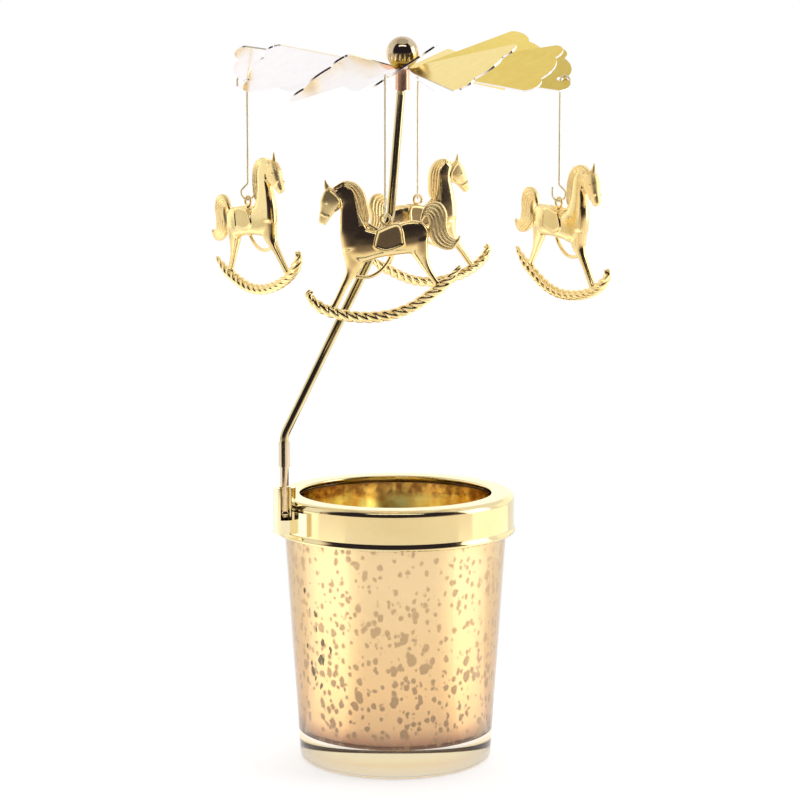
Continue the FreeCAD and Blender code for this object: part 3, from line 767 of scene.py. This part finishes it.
# Finishes: lighter and darker tone, least and greatest roughness, and clouds to the metre
CHAMPAGNE = metal("champagne_gold", (0.86, 0.72, 0.42), (0.80, 0.65, 0.34), 0.06, 0.16, 90, (1, 1, 6))
# Painted highlight: the bracket gets a paler copy of the gold that stands in for the strong light on it
PALE_GOLD_LIT = metal("pale_gold_lit", (0.97, 0.89, 0.64), (0.92, 0.82, 0.54), 0.06, 0.16, 90)
SOCKET_GOLD = metal("socket_gold", (0.84, 0.70, 0.50), (0.74, 0.59, 0.40), 0.06, 0.15, 300)
STEM_GOLD = metal("stem_gold", (0.72, 0.62, 0.36), (0.60, 0.50, 0.27), 0.08, 0.2, 300, (1, 1, 0.2))
COPPER = metal("copper_bush", (0.86, 0.55, 0.38), (0.76, 0.45, 0.30), 0.15, 0.3, 400)
WIRE_GOLD = metal("wire_gold", (1.0, 0.94, 0.78), (0.95, 0.86, 0.64), 0.45, 0.6, 500)
HORSE_GOLD = metal("horse_gold", (0.98, 0.79, 0.40), (0.92, 0.70, 0.32), 0.12, 0.18, 260)
RELIEF_GOLD = metal("relief_gold", (1.0, 0.81, 0.42), (0.97, 0.73, 0.34), 0.38, 0.44, 260)
BALL_GOLD = metal("ball_gold", (0.68, 0.55, 0.38), (0.60, 0.48, 0.32), 0.04, 0.1, 300)
FAN_SHEET = fan_material()
GLASS = glass_material()
LINING = lining_material()
AMBER = inside_material()
FLOOR_LEAF = metal("floor_leaf", (1.0, 0.80, 0.48), (0.94, 0.68, 0.36), 0.2, 0.35, 150)


def dress(node, material):
    """Gives a carried-over CAD node its finish."""
    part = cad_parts[node]
    part.data.materials.clear()
    part.data.materials.append(material)


# Cup
def glass_profile():
    """Outline of the glass from the middle of its foot, round the rim and down to the middle of its floor."""
    floor_radius = CUP_FOOT_RADIUS + CUP_SLOPE * CUP_BASE - CUP_WALL
    corners = [
        (0, 0),
        (CUP_FOOT_RADIUS, 0),
        (CUP_MOUTH_RADIUS, CUP_HEIGHT),
        (CUP_MOUTH_RADIUS - CUP_WALL, CUP_HEIGHT),
        (floor_radius, CUP_BASE),
        (0, CUP_BASE),
    ]
    radii = [0, CUP_FOOT_ROUND, CUP_RIM_ROUND, CUP_RIM_ROUND, CUP_FLOOR_ROUND, 0]
    return rounded_profile(corners, radii)


def lining_profile():
    """Outline of a thin shell on the inside of the glass, bitten into it so that no air lies between them,
    and the number of points on the shell's outer face."""
    top = CUP_HEIGHT - LINING_RIM_DROP
    faces = []
    for inset in (-LINING_BITE, LINING_THICKNESS - LINING_BITE):
        floor = CUP_BASE + inset
        wall = CUP_FOOT_RADIUS - CUP_WALL - inset
        corners = [(0, floor), (wall + CUP_SLOPE * floor, floor), (wall + CUP_SLOPE * top, top)]
        faces.append(rounded_profile(corners, [0, CUP_FLOOR_ROUND, 0]))
    return faces[0] + faces[1][::-1], len(faces[0])


def build_cup():
    """Clear glass, and the lining with its outer face, its inner face and the underside of its floor."""
    glass = turned("glass_cup_clear", glass_profile(), CUP_SEGMENTS)
    glass.data.materials.append(GLASS)
    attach(glass, "cup")
    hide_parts("glass_cup")
    profile, outer_count = lining_profile()
    lining = turned("mirror_lining", profile, CUP_SEGMENTS)
    for material in (LINING, AMBER, FLOOR_LEAF):
        lining.data.materials.append(material)
    for polygon in lining.data.polygons:
        rows = [(vertex - 1) // CUP_SEGMENTS for vertex in polygon.vertices]
        if max(rows) >= outer_count:
            polygon.material_index = 1
        elif polygon.normal.z < LINING_FLOOR_NORMAL:
            polygon.material_index = 2
    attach(lining, "cup")


# Horses
def build_horses():
    """One cast horse, hung at each station."""
    figure = horse_mesh()
    for name, (eye, heading, nose_down) in STATIONS.items():
        turned_round = Matrix.Rotation(math.radians(heading), 4, "Z")
        tilted = Matrix.Rotation(math.radians(nose_down), 4, "Y")
        mesh = figure.copy()
        mesh.transform(Matrix.Translation(eye) @ (turned_round @ tilted))
        horse = bpy.data.objects.new("rocking_horse_" + name, mesh)
        bpy.context.scene.collection.objects.link(horse)
        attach(horse, "horse_" + name)
        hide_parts("horse_" + name)


def dress_frame():
    """Finishes of the nodes that are carried over as they are."""
    dress("collar_ring", CHAMPAGNE)
    dress("stem_bracket", PALE_GOLD_LIT)
    dress("socket_pin", SOCKET_GOLD)
    dress("stem_ferrule", SOCKET_GOLD)
    dress("stem_rod", STEM_GOLD)
    dress("bearing_cup", COPPER)
    dress("fan_wheel", FAN_SHEET)
    dress("finial_ball", BALL_GOLD)
    for name in STATIONS:
        dress("hanger_" + name, WIRE_GOLD)


# Stage, lamps and camera
def light_path(tree):
    """1 for rays from the camera, a reflection or a transmission, and 0 for the rest."""
    rays = add_node(tree, "ShaderNodeLightPath")
    kinds = ("Camera", "Glossy", "Transmission")
    return greatest(tree, [rays.outputs["Is " + kind + " Ray"] for kind in kinds])


def build_world():
    """White surroundings, a little dimmer as a light than as seen."""
    world = bpy.data.worlds.new("studio")
    bpy.context.scene.world = world
    world.use_nodes = True
    tree = world.node_tree
    background = tree.nodes["Background"]
    background.inputs["Color"].default_value = (1, 1, 1, 1)
    brightness = spread(tree, light_path(tree), WORLD_FILL, WORLD_SEEN)
    tree.links.new(brightness, background.inputs["Strength"])


def build_floor():
    """Pale floor that keeps the shadow under the object and runs out into white."""
    corners = [(x * FLOOR_HALF, y * FLOOR_HALF, 0) for x, y in ((-1, -1), (1, -1), (1, 1), (-1, 1))]
    floor = new_piece("studio_floor", corners, [(0, 1, 2, 3)])
    floor.location.z = -FLOOR_DROP
    material, tree, shader = new_material("floor_white")
    shader.inputs["Base Color"].default_value = (0.86, 0.86, 0.86, 1)
    shader.inputs["Roughness"].default_value = 0.9
    shader.inputs["Specular IOR Level"].default_value = 0.1
    shader.inputs["Emission Color"].default_value = (1, 1, 1, 1)
    seen = light_path(tree)
    tree.links.new(spread(tree, seen, 0.0, FLOOR_GLOW), shader.inputs["Emission Strength"])
    place = add_node(tree, "ShaderNodeTexCoord")
    reach = add_node(tree, "ShaderNodeVectorMath", operation="LENGTH")
    far = add_node(tree, "ShaderNodeMapRange", interpolation_type="SMOOTHSTEP")
    far.inputs["From Min"].default_value = SHADOW_FULL
    far.inputs["From Max"].default_value = SHADOW_END
    white = add_node(tree, "ShaderNodeEmission")
    share = add_node(tree, "ShaderNodeMath", operation="MULTIPLY")
    mix = add_node(tree, "ShaderNodeMixShader")
    tree.links.new(place.outputs["Object"], reach.inputs[0])
    tree.links.new(reach.outputs["Value"], far.inputs["Value"])
    tree.links.new(far.outputs["Result"], share.inputs[0])
    tree.links.new(seen, share.inputs[1])
    tree.links.new(share.outputs["Value"], mix.inputs["Fac"])
    tree.links.new(shader.outputs["BSDF"], mix.inputs[1])
    tree.links.new(white.outputs["Emission"], mix.inputs[2])
    tree.links.new(mix.outputs["Shader"], tree.nodes["Material Output"].inputs["Surface"])
    floor.data.materials.append(material)


def stage_patch(name, profile, first, last):
    """A strip of stage turned about Z between two compass angles, from a profile of radius and height."""
    points = []
    for column in range(PATCH_COLUMNS + 1):
        azimuth = math.radians(first + (last - first) * column / PATCH_COLUMNS)
        for reach, height in profile:
            points.append((reach * math.cos(azimuth), reach * math.sin(azimuth), height))
    rows = len(profile)
    faces = []
    for column in range(PATCH_COLUMNS):
        for row in range(rows - 1):
            low = column * rows + row
            faces.append((low, low + 1, low + rows + 1, low + rows))
    return new_piece(name, points, faces)


def build_card():
    """Dark card before and above the object for polished metal to reflect, paler towards its edges."""
    card = stage_patch("studio_card", CARD_PROFILE, *CARD_ANGLES)
    material, tree, shader = new_material("card_dark")
    place = add_node(tree, "ShaderNodeTexCoord")
    flat = add_node(tree, "ShaderNodeVectorMath", operation="MULTIPLY")
    flat.inputs[1].default_value = (1, 1, 0)
    reach = add_node(tree, "ShaderNodeVectorMath", operation="LENGTH")
    raised = add_node(tree, "ShaderNodeVectorMath", operation="SUBTRACT")
    raised.inputs[1].default_value = (0, 0, CARD_CENTRE_HEIGHT)
    slopes = add_node(tree, "ShaderNodeVectorMath", operation="DIVIDE")
    parts = add_node(tree, "ShaderNodeSeparateXYZ")
    tree.links.new(place.outputs["Object"], flat.inputs[0])
    tree.links.new(flat.outputs["Vector"], reach.inputs[0])
    tree.links.new(place.outputs["Object"], raised.inputs[0])
    tree.links.new(raised.outputs["Vector"], slopes.inputs[0])
    tree.links.new(reach.outputs["Value"], slopes.inputs[1])
    tree.links.new(slopes.outputs["Vector"], parts.inputs["Vector"])
    aside = add_node(tree, "ShaderNodeMath", operation="MULTIPLY")
    tree.links.new(parts.outputs["X"], aside.inputs[0])
    tree.links.new(parts.outputs["X"], aside.inputs[1])
    lowered = add_node(tree, "ShaderNodeMath", operation="MULTIPLY_ADD")
    lowered.inputs[1].default_value = CARD_SIDE_DIP
    tree.links.new(aside.outputs["Value"], lowered.inputs[0])
    tree.links.new(parts.outputs["Z"], lowered.inputs[2])
    shares = []
    for source, (inside, edge) in ((lowered, CARD_FADE_DOWN), (aside, CARD_FADE_ASIDE)):
        pale = add_node(tree, "ShaderNodeMapRange", interpolation_type="SMOOTHSTEP")
        pale.inputs["From Min"].default_value = inside
        pale.inputs["From Max"].default_value = edge
        tree.links.new(source.outputs["Value"], pale.inputs["Value"])
        shares.append(pale.outputs["Result"])
    tones = ramp(tree, greatest(tree, shares), CARD_TONES)
    tree.links.new(tones, shader.inputs["Emission Color"])
    shader.inputs["Emission Strength"].default_value = 1.0
    shader.inputs["Base Color"].default_value = (0, 0, 0, 1)
    shader.inputs["Roughness"].default_value = 1.0
    shader.inputs["Specular IOR Level"].default_value = 0.0
    card.data.materials.append(material)
    card.visible_camera = False
    card.visible_transmission = False


def add_reflector(name, profile, first, last, brightness, through_glass=False):
    """A bright or dim strip of stage that shows in polished surfaces, and through the glass if asked."""
    card = stage_patch(name, profile, first, last)
    material, tree, shader = new_material(name)
    shader.inputs["Base Color"].default_value = (0, 0, 0, 1)
    shader.inputs["Specular IOR Level"].default_value = 0.0
    shader.inputs["Emission Color"].default_value = (1, 0.97, 0.88, 1)
    shader.inputs["Emission Strength"].default_value = brightness
    card.data.materials.append(material)
    card.visible_camera = False
    card.visible_diffuse = False
    card.visible_transmission = through_glass
    card.visible_shadow = False


def build_reflectors():
    """Bright strips on the floor for the bands on the cup, one behind for the flange, a dark one low in front
    for the pin, and dim ones at the left, overhead and behind for the horses, the ball and the fan."""
    near_ring = [(0.035, STRIP_HEIGHT), (0.22, STRIP_HEIGHT)]
    far_ring = [(0.22, STRIP_HEIGHT), (0.42, STRIP_HEIGHT)]
    add_reflector("near_strip_left", near_ring, -192, -137, 1.9, True)
    add_reflector("near_strip_right", near_ring, -30, 16, 1.9, True)
    add_reflector("far_strip_left", far_ring, -215, -137, 1.5, True)
    add_reflector("far_strip_right", far_ring, -30, 45, 1.5, True)
    add_reflector("strip_back", [(0.7, 0.05), (0.7, 0.36)], 25, 155, 1.35)
    add_reflector("dark_near", [(0.12, 0.050), (0.12, 0.068)], -150, -84, 0.03)
    add_reflector("dim_left", [(0.6, 0.03), (0.6, 0.105)], 150, 196, 0.72)
    add_reflector("dim_overhead", [(0.0, 0.9), (0.42, 0.9)], 0, 360, 0.6)
    add_reflector("dim_behind", [(0.42, 0.9), (0.85, 0.9)], 90, 200, 0.86)


def add_lamp(name, place, target, width, height, radiance):
    """A soft panel lamp of a given brightness that faces a target."""
    data = bpy.data.lights.new(name, "AREA")
    data.shape = "RECTANGLE"
    data.size = width
    data.size_y = height
    data.energy = radiance * math.pi * width * height
    lamp = bpy.data.objects.new(name, data)
    lamp.location = place
    lamp.rotation_euler = (Vector(target) - Vector(place)).to_track_quat("-Z", "Y").to_euler()
    bpy.context.scene.collection.objects.link(lamp)


def build_lamps():
    """A soft panel at the right, and one in front and above."""
    add_lamp("panel_right", (0.63, -0.05, 0.26), LAMP_TARGET, 0.36, 0.50, 1.6)
    add_lamp("panel_front", (0, -0.45, 0.70), LAMP_TARGET, 0.6, 0.12, 2.0)


def build_camera():
    """Camera of the main view."""
    data = bpy.data.cameras.new("camera")
    data.lens = CAMERA_LENS
    data.sensor_width = CAMERA_SENSOR
    camera = bpy.data.objects.new("camera", data)
    camera.location = CAMERA_PLACE
    camera.rotation_euler = (math.radians(CAMERA_TILT), 0, 0)
    bpy.context.scene.collection.objects.link(camera)
    bpy.context.scene.camera = camera


build_cup()
build_horses()
dress_frame()
build_world()
build_floor()
build_card()
build_lamps()
build_reflectors()
build_camera()
bpy.context.scene.view_settings.view_transform = "Standard"
